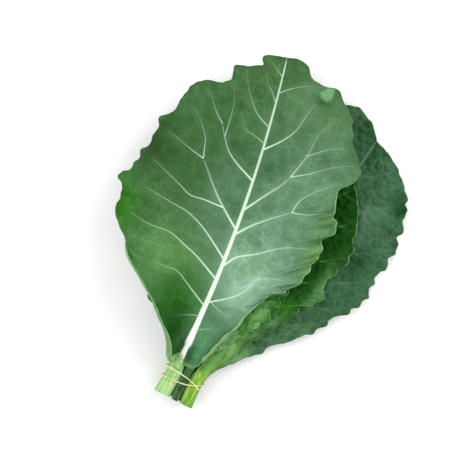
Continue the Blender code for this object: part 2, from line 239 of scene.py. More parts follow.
# The front leaf's side veins: widths in mm at the root and at the end, then along and across in
# thousandths, from the midrib outwards
FRONT_VEINS = [
    (1.2, 0.5, 189, 0, 180, -35, 166, -72),
    (1.7, 0.6, 218, 0, 261, -68, 291, -117, 293, -156, 298, -200),
    (2.2, 0.6, 305, 0, 349, -76, 370, -125, 392, -180, 395, -249, 410, -315),
    (2.2, 0.6, 368, 0, 424, -74, 450, -116, 467, -157, 477, -210, 495, -305),
    (2.6, 1.6, 464, 0, 519, -63, 560, -103, 597, -133, 631, -161),
    (1.4, 0.5, 631, -161, 645, -207, 664, -258, 668, -288),
    (1.4, 0.5, 631, -161, 665, -168, 693, -175, 736, -203, 764, -231),
    (1.7, 0.5, 514, -58, 517, -117, 516, -163, 533, -199, 554, -245, 581, -305),
    (2.2, 1.2, 618, 0, 648, -56, 676, -94, 713, -120, 749, -138),
    (1.1, 0.5, 749, -138, 773, -163, 810, -189, 831, -209),
    (1.2, 0.5, 713, -120, 783, -119, 826, -123, 867, -135),
    (1.1, 0.4, 735, 0, 748, -39, 755, -65, 790, -85),
    (1.4, 0.4, 785, 0, 809, -42, 843, -71, 880, -93, 928, -110),
    (1.0, 0.4, 860, 0, 892, -22, 913, -41, 950, -55),
    (1.2, 0.5, 143, 0, 161, 41, 152, 68),
    (1.9, 0.6, 232, 0, 267, 56, 299, 89, 344, 110, 363, 150, 372, 200),
    (1.0, 0.5, 236, 12, 219, 53, 215, 95),
    (2.4, 0.6, 345, 0, 387, 30, 416, 81, 449, 130, 468, 168, 491, 250),
    (2.6, 1.6, 448, 0, 491, 39, 530, 86, 568, 139),
    (1.4, 0.5, 568, 139, 578, 186, 600, 240, 596, 285),
    (1.4, 0.5, 568, 139, 609, 151, 647, 184, 689, 240, 700, 280),
    (2.6, 1.7, 525, 0, 592, 50, 633, 83, 667, 103),
    (1.5, 0.5, 667, 103, 742, 132, 815, 149, 863, 180),
    (1.5, 0.5, 667, 103, 699, 160, 737, 218, 766, 285),
    (1.0, 0.4, 742, 132, 780, 185, 800, 235),
    (2.0, 0.5, 715, 0, 761, 48, 806, 81, 858, 98, 902, 116),
    (1.2, 0.4, 892, 0, 918, 35, 942, 83, 950, 120),
    (0.9, 0.4, 940, 0, 965, -30, 975, -50),
]


def spline(points, shares):
    """Points at the given shares of the length of a smooth curve through the given ones."""
    p = np.array(points, float)
    p = np.vstack([2 * p[0] - p[1], p, 2 * p[-1] - p[-2]])
    t = np.linspace(0, 1, 12, endpoint=False)[:, None]
    dense = [
        0.5 * (
            2 * b + (c - a) * t + (2 * a - 5 * b + 4 * c - d) * t**2 + (3 * b - a - 3 * c + d) * t**3
        )
        for a, b, c, d in zip(p, p[1:], p[2:], p[3:])
    ]
    dense = np.vstack([*dense, p[-2]])
    run = np.concatenate([[0], np.cumsum(np.linalg.norm(np.diff(dense, axis=0), axis=1))])
    at = np.asarray(shares) * run[-1]
    return np.column_stack([np.interp(at, run, dense[:, k]) for k in range(p.shape[1])])


def smooth_step(x):
    x = np.clip(x, 0.0, 1.0)
    return x * x * (3 - 2 * x)


# ---- the laid leaves, as coarse grids ----


def band_lift():
    return (BAND_THICKNESS + BAND_GAP) / 2


def stem_centre(leaf):
    row = [other for other in LEAVES if other.row == leaf.row]
    widths = [other.stem * STEM_WIDTH + STEM_GAP for other in row]
    place = row.index(leaf)
    x = sum(widths[:place]) + widths[place] / 2 - sum(widths) / 2
    lowest = BAND_GAP + BAND_THICKNESS + 2 * band_lift() + STEM_HEIGHT / 2
    return Vector((x, 0, lowest + leaf.row * (STEM_HEIGHT + STEM_GAP)))


def rib_half_width(leaf, along):
    taper = RIB_TIP_WIDTH + (RIB_BASE_WIDTH - RIB_TIP_WIDTH) * (1 - along)
    root = np.clip(1 - along / 0.2, 0, 1) ** 2
    return (taper + (leaf.stem * STEM_WIDTH - RIB_BASE_WIDTH) * root) / 2


def rib_depth(along):
    root = STEM_HEIGHT * 0.86 - BLADE_THICKNESS
    return RIB_TIP_DEPTH + (root - RIB_TIP_DEPTH) * (1 - along) ** 2.2


def stations():
    return np.linspace(0, 1, STATIONS) ** CROWDING


def half_columns():
    rib = [*RIB_COLUMNS, *[1.0] * len(BLADE_COLUMNS)]
    blade = [*[0.0] * len(RIB_COLUMNS), *BLADE_COLUMNS]
    return np.array(rib), np.array(blade)


def margin(leaf, outline, shares):
    length = leaf.length * LEAF_LENGTH
    root = (STEM_ABOVE_TIE / length, leaf.stem * STEM_WIDTH / 2 / length)
    return spline([root, *outline, (1.0, 0.0)], shares)


def midrib_stations(leaf):
    edge = (margin(leaf, leaf.left, stations()) + margin(leaf, leaf.right, stations())) / 2
    leaning = edge[:, 0] - VEIN_SWEEP * np.maximum(edge[:, 1] - edge[0, 1], 0)
    forward = np.maximum.accumulate(leaning)
    return 0.9 * forward + 0.1 * np.linspace(edge[0, 0], 1, STATIONS)


def directions(leaf):
    """Unit plan vectors along the leaf and across it."""
    heading = math.radians(leaf.heading)
    sine, cosine = math.sin(heading), math.cos(heading)
    return np.array([sine, cosine]), np.array([cosine, -sine])


def place(leaf, u, v):
    """Shares of the leaf's length, along and across from its straight axis, as x and y in the bunch."""
    forward, side = directions(leaf)
    u, v = np.asarray(u), np.asarray(v)
    spot = leaf.length * LEAF_LENGTH * (u[..., None] * forward + v[..., None] * side)
    return spot + np.array([stem_centre(leaf).x, 0])


def find(leaf, spots):
    """The reverse of place: shares along and across for plan positions."""
    forward, side = directions(leaf)
    out = (spots - np.array([stem_centre(leaf).x, 0])) / (leaf.length * LEAF_LENGTH)
    return out @ forward, out @ side


def bow(leaf, u):
    """How far the midrib stands to the right of the leaf's straight axis."""
    return leaf.sway * 4 * u * (1 - u)


def half_blade(leaf, outline, sign, along):
    side = directions(leaf)[1]
    edge = margin(leaf, outline, stations())
    middle = place(leaf, along, bow(leaf, along))
    reach = place(leaf, edge[:, 0], sign * edge[:, 1]) - middle
    far = np.maximum(np.linalg.norm(reach, axis=1), 1e-9)
    reach /= far[:, None]
    lean = np.clip(np.abs(reach @ side), 0.35, 1)
    rib_side = np.minimum(rib_half_width(leaf, along) / lean, 0.6 * far)
    rib, blade = half_columns()
    out = rib_side[:, None] * rib + (far - rib_side)[:, None] * blade
    return middle[:, None] + out[..., None] * reach[:, None]


def half_heights(leaf, rises, sign, along):
    down = stations()
    rib, blade = half_columns()
    rise = np.interp(down, np.linspace(0, 1, len(rises)), rises) * MM
    wave = np.sin(2 * math.pi * leaf.waves * down + leaf.phase + sign) * leaf.wave * MM
    wave *= np.sqrt(np.sin(math.pi * np.clip(down, 0, 1)))
    arch = np.sqrt(1 - rib**2)
    blade_top = stem_centre(leaf).z + STEM_HEIGHT / 2 - RIB_CROWN
    blade_top = blade_top + rise[:, None] * blade**1.5 + wave[:, None] * blade**2.5
    ridge = rib_depth(along)[:, None] * np.minimum(1, 1.25 * arch)
    return blade_top + RIB_CROWN * arch, blade_top - BLADE_THICKNESS - ridge


def free_shape(leaf):
    along = midrib_stations(leaf)
    surfaces = ([], [])
    for sign, outline, rises in ((-1, leaf.left, leaf.left_rise), (1, leaf.right, leaf.right_rise)):
        flat = half_blade(leaf, outline, sign, along)
        for surface, height in zip(surfaces, half_heights(leaf, rises, sign, along)):
            half = np.dstack([flat, height])
            surface.append(half[:, :0:-1] if sign < 0 else half)
    return [np.concatenate(halves, axis=1) for halves in surfaces]


def stem_rings(leaf, count):
    centre = stem_centre(leaf)
    lean = math.tan(math.radians(leaf.heading))
    half = count // 2
    wing = len(BLADE_COLUMNS)
    over = np.radians(np.linspace(90, 30, half + 1))
    keel = np.linspace(-90, -20, half - wing + 1)
    under = np.radians(np.concatenate([keel, np.linspace(-12, 20, wing)]))
    rings = ([], [])
    for y in np.linspace(-STEM_BELOW_TIE, STEM_ABOVE_TIE, STEM_STATIONS):
        past_tie = max(0.0, BAND_MIDDLE - BAND_SPREAD - y)
        drift = max(0.0, y) * lean + past_tie * STEM_FLARE * centre.x / STEM_WIDTH
        for ring, arc in zip(rings, (over, under)):
            angle = np.concatenate([math.pi - arc[:0:-1], arc])
            x = centre.x + drift + leaf.stem * STEM_WIDTH / 2 * np.cos(angle)
            z = centre.z + STEM_HEIGHT / 2 * np.sin(angle)
            ring.append(np.column_stack([x, np.full(count, y), z]))
    return np.array(rings[0]), np.array(rings[1])


def height_below(below, x, y):
    hit = below.ray_cast(Vector((x, y, 1.0)), Vector((0, 0, -1)))[0]
    return hit.z if hit else None


def needed_lift(lower, below):
    need = -lower[..., 2]
    if below is None:
        return need
    shares = (0.0, 0.2, 0.4, 0.6, 0.8, 1.0)
    rows, columns = need.shape
    for i, j in np.ndindex(rows - 1, columns - 1):
        past_margin = [-0.15] * (j == 0) + [1.15] * (j == columns - 2)
        for u in shares:
            left, right = lower[i, j:j + 2] * (1 - u) + lower[i + 1, j:j + 2] * u
            for v in (*shares, *past_margin):
                x, y, z = left * (1 - v) + right * v
                hit = height_below(below, x, y)
                if hit is None or i == 0 and u == 0:
                    continue
                rise = (hit + LEAF_GAP - z) / (u if i == 0 else 1)
                corners = need[i:i + 2, j:j + 2]
                np.maximum(corners, rise, out=corners)
    return need


def neighbours_mean(grid):
    padded = np.pad(grid, 1, mode="edge")
    return (padded[:-2, 1:-1] + padded[2:, 1:-1] + padded[1:-1, :-2] + padded[1:-1, 2:]) / 4


def settle(need):
    lift = np.zeros_like(need)
    for _ in range(ROUNDS):
        lift = np.maximum(neighbours_mean(lift) - SAG, need)
        lift[0] = 0.0
    return lift


def leaf_surfaces(leaf, below):
    upper, lower = free_shape(leaf)
    stem_upper, stem_lower = stem_rings(leaf, upper.shape[1])
    upper[0], lower[0] = stem_upper[-1], stem_lower[-1]
    lift = settle(needed_lift(lower, below))
    upper[..., 2] += lift
    lower[..., 2] += lift
    return np.vstack([stem_upper, upper[1:]]), np.vstack([stem_lower, lower[1:]])


def grid_faces(rows, columns, start=0):
    i, j = np.meshgrid(np.arange(rows - 1), np.arange(columns - 1), indexing="ij")
    a = (i * columns + j + start).ravel()
    return np.column_stack([a, a + columns, a + columns + 1, a + 1])


class Pile:
    """The upper sides of the leaves laid so far."""

    def __init__(self):
        self.points, self.faces, self.tree = [], [], None

    def add(self, upper):
        rows, columns = upper.shape[:2]
        self.faces += grid_faces(rows, columns, len(self.points)).tolist()
        self.points += [Vector(p) for p in upper.reshape(-1, 3)]
        self.tree = BVHTree.FromPolygons(self.points, self.faces)


# ---- refining ----


def cubic_weights(knots, at):
    """Weights that carry values at the knots to a smooth curve at other places."""
    n = len(knots)
    step = np.diff(knots)
    slope = np.zeros((n, n))
    slope[0, 0], slope[0, 1] = -1 / step[0], 1 / step[0]
    slope[-1, -2], slope[-1, -1] = -1 / step[-1], 1 / step[-1]
    for i in range(1, n - 1):
        a, b = step[i - 1], step[i]
        slope[i, i - 1] = -b / (a * (a + b))
        slope[i, i + 1] = a / (b * (a + b))
        slope[i, i] = b / (a * (a + b)) - a / (b * (a + b))
    weights = np.zeros((len(at), n))
    k = np.clip(np.searchsorted(knots, at, side="right") - 1, 0, n - 2)
    h = step[k]
    t = (at - knots[k]) / h
    rows = np.arange(len(at))
    weights[rows, k] += 2 * t**3 - 3 * t**2 + 1
    weights[rows, k + 1] += 3 * t**2 - 2 * t**3
    weights += (h * (t**3 - 2 * t**2 + t))[:, None] * slope[k]
    weights += (h * (t**3 - t**2))[:, None] * slope[k + 1]
    return weights


def divide(knots, cell):
    """The knots with evenly spaced places added between them, no further apart than cell."""
    parts = [
        np.linspace(a, b, max(2, math.ceil((b - a) / cell) + 1))[:-1] for a, b in zip(knots, knots[1:])
    ]
    return np.concatenate([*parts, knots[-1:]])


def waves(x, y, size, seed, count=14):
    """Smooth random bumps about as wide as size, between about -1 and 1."""
    random = np.random.default_rng(seed)
    total = np.zeros_like(x)
    for _ in range(count):
        angle = random.uniform(0, 2 * math.pi)
        pitch = 2 * math.pi / (size * random.uniform(0.75, 1.5))
        total += np.sin(pitch * (x * math.cos(angle) + y * math.sin(angle)) + random.uniform(0, 7))
    return total / math.sqrt(count / 2) / 1.6


def trace_scallops(fine):
    """Draws the margins out to their true scallops."""
    leaf = fine.leaf
    share = np.interp(fine.row[:, 0] - (STEM_STATIONS - 1), np.arange(STATIONS), stations())
    for sign, outline in zip((-1, 1), SCALLOPS.get(leaf.name, (None, None))):
        if outline is None:
            continue
        edge = margin(leaf, outline, share)
        goal = place(leaf, edge[:, 0], sign * edge[:, 1])
        now = fine.upper[:, -1 if sign > 0 else 0, :2]
        pull = (goal - now) * smooth_step((fine.row - STEM_STATIONS + 1) / 2)
        weight = fine.blade**4 * (fine.sign == sign)
        offset = pull[:, None] * weight[..., None]
        fine.move(np.dstack([offset, np.zeros(fine.shape)]))


class Fine:
    """A leaf's fine surfaces, with where each point lies on the leaf."""

    def __init__(self, leaf, upper, lower):
        self.leaf = leaf
        self.rank = LAYING_ORDER.index(leaf.name)
        cell = leaf.cell * MM
        gaps = np.linalg.norm(np.diff(upper, axis=0), axis=2)
        row_knots = np.concatenate([[0], np.cumsum(0.35 * gaps.mean(axis=1) + 0.65 * gaps.max(axis=1))])
        rib, blade = half_columns()
        reach = np.linalg.norm(upper[5:, -1] - upper[5:, upper.shape[1] // 2], axis=1).max()
        half = rib * 3.5 * MM + blade * (reach - 3.5 * MM)
        column_knots = np.concatenate([-half[:0:-1], half])
        rows = divide(row_knots, cell)
        columns = divide(column_knots, cell)
        down = cubic_weights(row_knots, rows)
        across = cubic_weights(column_knots, columns)
        place_in_half = np.abs(columns)
        self.sign = np.sign(columns)[None, :]
        self.blade = np.interp(place_in_half, half, blade)[None, :]
        self.row = np.interp(rows, row_knots, np.arange(len(row_knots)))[:, None]
        # A stem keeps inside its own outline, so that it stays clear of its neighbours and of the band.
        straight = np.array([
            np.interp(columns, column_knots, one) for one in np.eye(len(column_knots))
        ]).T
        stem = (1 - smooth_step((self.row - STEM_STATIONS + 1) / 2.0))[..., None]
        for name, grid in (("upper", upper), ("lower", lower)):
            smooth, plain = (
                np.einsum("ri,cj,ijk->rck", down, weights, grid) for weights in (across, straight)
            )
            setattr(self, name, smooth * (1 - stem) + plain * stem)
        self.run = rows[:, None]
        self.row_knots = row_knots
        self.shape = self.upper.shape[:2]
        blade_start = STEM_STATIONS - 1
        self.green = smooth_step((self.row - blade_start - 0.5) / 3) + np.zeros(self.shape)

    def outwards(self):
        """Unit plan direction from the midrib to the margin at each point."""
        middle = self.upper[:, self.shape[1] // 2, :2][:, None]
        reach = self.upper[..., :2] - middle
        return reach / np.maximum(np.linalg.norm(reach, axis=2), 1e-6)[..., None]

    def margin_distance(self):
        """Distance to the nearer margin along each row."""
        step = np.linalg.norm(np.diff(self.upper, axis=1), axis=2)
        run = np.concatenate([np.zeros((self.shape[0], 1)), np.cumsum(step, axis=1)], axis=1)
        return np.minimum(run, run[:, -1:] - run)

    def move(self, offset):
        self.upper = self.upper + offset
        self.lower = self.lower + offset

    def lift(self, height):
        self.move(np.dstack([np.zeros((*self.shape, 2)), height]))


def ruffle_margin(fine):
    """Small scallops and ruffles, growing towards the margin."""
    leaf = fine.leaf
    seed = fine.rank * 10
    run = fine.run + 0.13 * fine.sign
    tip = smooth_step((fine.row_knots[-1] - fine.run) / (25 * MM))
    strength = fine.green * tip
    flat = np.zeros(fine.shape)
    tiny, small, broad = (
        waves(run + flat, fine.sign * 0.5 + flat, size * MM, seed + turn)
        for size, turn in ((7, 5), (15, 1), (34, 2))
    )
    edge = fine.blade**5
    scallop = (0.45 * tiny + 0.5 * small) * MM * strength * fine.blade**9
    swell = (broad * fine.blade**3 + 0.55 * small * edge) * leaf.ruffle * MM * strength
    fine.move(np.dstack([fine.outwards() * scallop[..., None], swell]))
    if leaf.name in FRILLS:
        u, _ = find(leaf, fine.upper[..., :2])
        side, start, end, height = FRILLS[leaf.name]
        near = smooth_step((u - start) / 0.05) * smooth_step((end - u) / 0.05) * (fine.sign == side)
        fold = np.sin(2 * math.pi * (fine.run / FRILL_PITCH + 0.9 * broad + 1.6 * (1 - fine.blade)))
        fine.lift((0.6 * fold + 0.7 * small) * height * MM * near * fine.blade**6)


def roll_margins(fine):
    """Rolls the margins of the front leaf's two wings back over themselves beside the tie."""
    if fine.leaf.name != "leaf_front":
        return
    u, _ = find(fine.leaf, fine.upper[..., :2])
    t = np.clip((fine.blade - ROLL_HINGE) / (1 - ROLL_HINGE), 0, 1)
    for sign, start, fade, end, radius in ROLLS:
        side = np.abs(fine.sign - sign) < 0.5
        edge_u = u[:, -1 if sign > 0 else 0][:, None]
        amount = smooth_step((edge_u - start) / 0.03) * smooth_step((end - edge_u) / fade)
        r = radius * MM * amount + 1e-6
        columns = fine.blade[0] * (fine.sign[0] == sign)
        hinge = int(np.argmin(np.abs(columns - ROLL_HINGE)))
        rim = -1 if sign > 0 else 0
        for name in ("upper", "lower"):
            grid = getattr(fine, name)
            start_point = grid[:, hinge][:, None]
            span = grid[:, rim][:, None] - start_point
            far = np.maximum(np.linalg.norm(span[..., :2], axis=2), 1e-6)[..., None]
            straight = np.maximum(far - r[..., None], 0)
            total = straight + r[..., None] * ROLL_TURN * math.pi
            gone = t[..., None] * total
            turn = np.clip((gone - straight) / r[..., None], 0, None)
            thick = 0 if name == "upper" else -0.45 * MM
            out = np.minimum(gone, straight) + (r[..., None] - thick) * np.sin(turn)
            up = r[..., None] - (r[..., None] - thick) * np.cos(turn)
            level = span[..., 2:] * np.minimum(gone, straight) / far
            turned = np.concatenate([span[..., :2] / far * out, level + up - thick], axis=2)
            rolled = start_point + turned
            share = (smooth_step(t * 6) * side * smooth_step(amount * 4))[..., None]
            setattr(fine, name, grid * (1 - share) + rolled * share)


def plan_tree(spots):
    """A tree of plan positions, for finding the nearest of them."""
    tree = KDTree(len(spots))
    for i, (x, y) in enumerate(spots):
        tree.insert((x, y, 0), i)
    tree.balance()
    return tree


def quilt(fine):
    """Distance from the creases of a net of small veins, as a share of its meshes' size."""
    leaf = fine.leaf
    random = np.random.default_rng(fine.rank + 70)
    size = leaf.mesh * MM
    flat = fine.upper[..., :2].reshape(-1, 2)
    low, high = flat.min(axis=0), flat.max(axis=0)
    nx, ny = np.ceil((high - low) / size).astype(int) + 1
    spots = []
    for i, j in np.ndindex(nx, ny):
        jitter = random.uniform(-NET_JITTER, NET_JITTER, 2)
        x = low[0] + (i + 0.5 * (j % 2) + jitter[0]) * size
        y = low[1] + (j + jitter[1]) * size
        spots.append((x, y))
    tree = plan_tree(spots)
    gap = np.empty(len(flat))
    for k, (x, y) in enumerate(flat):
        near = tree.find_n((x, y, 0), 2)
        gap[k] = (near[1][2] - near[0][2]) / size
    return gap.reshape(fine.shape)


def vein_lines(fine):
    """The side veins as plan curves, each with its widths at the root and at the end."""
    if fine.leaf.name == "leaf_front":
        lines = []
        for root, end, *spots in FRONT_VEINS:
            u, v = np.array(pairs(*spots)).T
            lines.append((place(fine.leaf, u, v + bow(fine.leaf, u)), root, end))
        return lines
    lines = []
    random = np.random.default_rng(fine.rank + 40)
    first, last = STEM_STATIONS + 2.5, STEM_STATIONS + STATIONS - 3.5
    for sign in (-1, 1):
        row = first + (0.6 if sign > 0 else 0)
        while row < last:
            fork = random.uniform(0.45, 0.62)
            turn = random.uniform(0.5, 1.1)
            trunk = [
                (row + turn * (r / fork) ** 2 * 0.8 - 0.8, sign * r) for r in np.linspace(0, fork, 4)
            ]
            lines.append((on_leaf(fine, trunk), 1.9, 1.0))
            top = trunk[-1][0]
            for way in (random.uniform(-1.1, -0.4), random.uniform(0.5, 1.2)):
                branch = [trunk[-1]]
                for r in np.linspace(fork, 0.95, 4)[1:]:
                    bend = way * ((r - fork) / (0.97 - fork)) ** 1.35 * 0.9
                    branch.append((top + bend + 0.5 * (r - fork), sign * r))
                lines.append((on_leaf(fine, branch), 1.0, 0.4))
            row += random.uniform(2.3, 3.2)
    return lines


def on_leaf(fine, spots):
    """Plan positions of (coarse row, signed share of the way to the margin)."""
    rows = fine.row[:, 0]
    middle = fine.shape[1] // 2
    found = []
    for row, out in spots:
        i = int(np.clip(np.searchsorted(rows, row), 1, fine.shape[0] - 1))
        share = fine.blade[0, middle:]
        j = int(np.searchsorted(share, abs(out)))
        j = min(j, len(share) - 1)
        column = middle + j if out >= 0 else middle - j
        found.append(fine.upper[i, column, :2])
    return np.array(found)


def vein_distance(fine, lines):
    """Distance from every point to the nearest side vein or to the midrib's side, in plan."""
    spots = []
    for points, _, _ in lines:
        length = np.linalg.norm(np.diff(points, axis=0), axis=1).sum()
        spots.append(spline(points, np.linspace(0, 1, max(4, int(length / (1.5 * MM))))))
    middle = fine.upper[:, fine.shape[1] // 2, :2]
    tree = plan_tree(np.vstack([*spots, middle]))
    flat = fine.upper[..., :2].reshape(-1, 2)
    far = np.array([tree.find((x, y, 0))[2] for x, y in flat])
    return far.reshape(fine.shape)


def pucker_blade(fine, far, gap):
    """The blade bulges between its veins, is quilted between small ones and wrinkles a little."""
    leaf = fine.leaf
    seed = fine.rank * 10
    x, y = fine.upper[..., 0], fine.upper[..., 1]
    swell = smooth_step(far / (11 * MM)) * leaf.pucker * (0.9 + 0.5 * waves(x, y, 30 * MM, seed + 3))
    wrinkle = waves(x, y, 8 * MM, seed + 4) * 0.16 * leaf.pucker * smooth_step(far / (5 * MM))
    pillows = (smooth_step(gap / 0.55) - 0.5) * leaf.quilt * smooth_step(far / (4 * MM))
    total = (swell + wrinkle + pillows) * MM * fine.green * (fine.blade > 0)
    total *= smooth_step(fine.blade / 0.06)
    fine.lift(total)


def thin_margin(fine):
    thick = BLADE_THICKNESS + (MARGIN_THICKNESS - BLADE_THICKNESS) * fine.blade**0.5
    height = fine.lower[..., 2] + (BLADE_THICKNESS - thick) * fine.green
    ceiling = fine.upper[..., 2] - thick
    fine.lower[..., 2] = np.where(fine.blade * fine.green > 0, np.minimum(height, ceiling), height)


def clear_below(fine, below):
    """Raises the leaf smoothly where it would cut into the leaves under it or into the table."""
    need = TABLE_CLEARANCE - fine.lower[..., 2]
    if below is not None:
        for i, j in np.ndindex(fine.shape):
            x, y, z = fine.lower[i, j]
            hit = height_below(below, x, y)
            if hit is not None:
                need[i, j] = max(need[i, j], hit + CLEARANCE - z)
    need[: int(np.searchsorted(fine.row[:, 0], STEM_STATIONS - 1)) + 1] = -1
    lift = np.maximum(need, 0)
    for _ in range(SMOOTHING_ROUNDS):
        lift = np.maximum(neighbours_mean(lift), need)
    fine.lift(np.maximum(lift, 0))


def surface_tree(grid):
    alone = Pile()
    alone.add(grid)
    return alone.tree


def vein_ribbons(fine, lines):
    """Raised veins on both sides of the blade: points, faces, strength, and which side each is on."""
    points, faces, strength, under = [], [], [], []
    corners = len(VEIN_PROFILE)
    for side, grid in ((0, fine.upper), (1, fine.lower)):
        tree = surface_tree(grid)
        ray = Vector((0, 0, -1 if side == 0 else 1))
        start_z = 1.0 if side == 0 else -1.0
        for line, root, end in lines:
            length = np.linalg.norm(np.diff(line, axis=0), axis=1).sum()
            count = max(4, int(length / VEIN_STEP))
            shares = np.linspace(0, 1, count)
            track = spline(line, shares)
            ahead = np.gradient(track, axis=0)
            ahead /= np.maximum(np.linalg.norm(ahead, axis=1), 1e-9)[:, None]
            rings = []
            for share, spot, way in zip(shares, track, ahead):
                width = (root + (end - root) * share**0.8) * MM / 2
                width *= min(1, (1 - share) * count / 3 + 0.15) * VEIN_WIDENINGS[side]
                height = width * VEIN_HEIGHTS[side]
                cross = np.array([-way[1], way[0]])
                ring = []
                for out, up in VEIN_PROFILE:
                    x, y = spot + cross * out * width
                    hit, normal = tree.ray_cast(Vector((x, y, start_z)), ray)[:2]
                    if hit is None:
                        ring = None
                        break
                    if normal.z * ray.z > 0:
                        normal = -normal
                    ring.append(hit + normal * up * height)
                if ring is None:
                    break
                rings.append(ring)
                faintness = 0.74 if root < THIN_VEIN else 1.0
                strength += [(0.74 - 0.48 * share**0.7) * faintness] * corners
                under += [side] * corners
            if len(rings) < 2:
                if rings:
                    del strength[-corners * len(rings):], under[-corners * len(rings):]
                continue
            base = len(points)
            points += [p for ring in rings for p in ring]
            for i, j in np.ndindex(len(rings) - 1, corners - 1):
                a = base + i * corners + j
                faces.append((a, a + 1, a + 1 + corners, a + corners))
    return points, faces, strength, under


def leaf_tones_and_painted_shading(name, u, v):
    """The blade's colour at each place, from its ground colour and the patches on it, some of which are
    painted shade or painted light.
    """
    ground, *patches = TONES_AND_PAINTED_SHADING[name]
    tone = np.tile(np.array(ground) / 1000, (len(u), 1))
    for patch in patches:
        along, across, reach_along, reach_across, *colour, strength = np.array(patch) / 1000
        far = ((u - along) / reach_along) ** 2 + ((v - across) / reach_across) ** 2
        share = strength * np.exp(-far)[:, None]
        tone = tone * (1 - share) + np.array(colour) * share
    return tone


def pale_rim(name, u, v):
    """How pale the rim of the blade is: 0 where it has dried dark, 1 where it is fresh."""
    if name == "leaf_front":
        left = smooth_step((0.42 - u) / 0.12)
        right = smooth_step((0.80 - u) / 0.12)
        return np.where(v < 0, left, right)
    return np.full(u.shape, {"leaf_second": 0.75, "leaf_middle": 0.55}.get(name, 0.25))


def small_folds(fine):
    """The folds of the front leaf's blade: points, faces, and each point's stem share and colour."""
    points, faces, stems, tones = [], [], [], []
    if fine.leaf.name != "leaf_front":
        return np.zeros((0, 3)), faces, np.zeros(0), np.zeros((0, 3))
    tree = surface_tree(fine.upper)
    rounds, spokes = FOLD_RINGS, FOLD_SPOKES
    for middle, half_length, half_width, dome, way, stem, tone in FOLDS:
        start = len(points)
        long_way, short_way = np.array(way), np.array([-way[1], way[0]])
        for k in range(rounds):
            r = (k + 0.5) / rounds if k else 0.02
            for i in range(spokes):
                angle = 2 * math.pi * i / spokes
                wobble = 1 + 0.10 * math.sin(3 * angle + 1) + 0.05 * math.sin(7 * angle)
                out = math.cos(angle) * half_length * long_way
                out = out + math.sin(angle) * half_width * short_way
                x, y = (np.array(middle) + out * r * wobble) * MM
                hit = tree.ray_cast(Vector((x, y, 1.0)), Vector((0, 0, -1)))[0]
                crease = 0.8 * math.exp(-((math.sin(angle) * r - 0.1) / 0.16) ** 2)
                height = (dome * math.sqrt(1 - r**2) - crease - 0.6 * (k == rounds - 1)) * MM
                points.append((x, y, (hit.z if hit else fine.upper[..., 2].min()) + height))
                stems.append(stem)
                tones.append(tone)
        for k, i in np.ndindex(rounds - 1, spokes):
            a, b = start + k * spokes + i, start + k * spokes + (i + 1) % spokes
            faces.append((a, a + spokes, b + spokes, b))
        faces.append(tuple(range(start, start + spokes)))
    return np.array(points), faces, np.array(stems), np.array(tones)


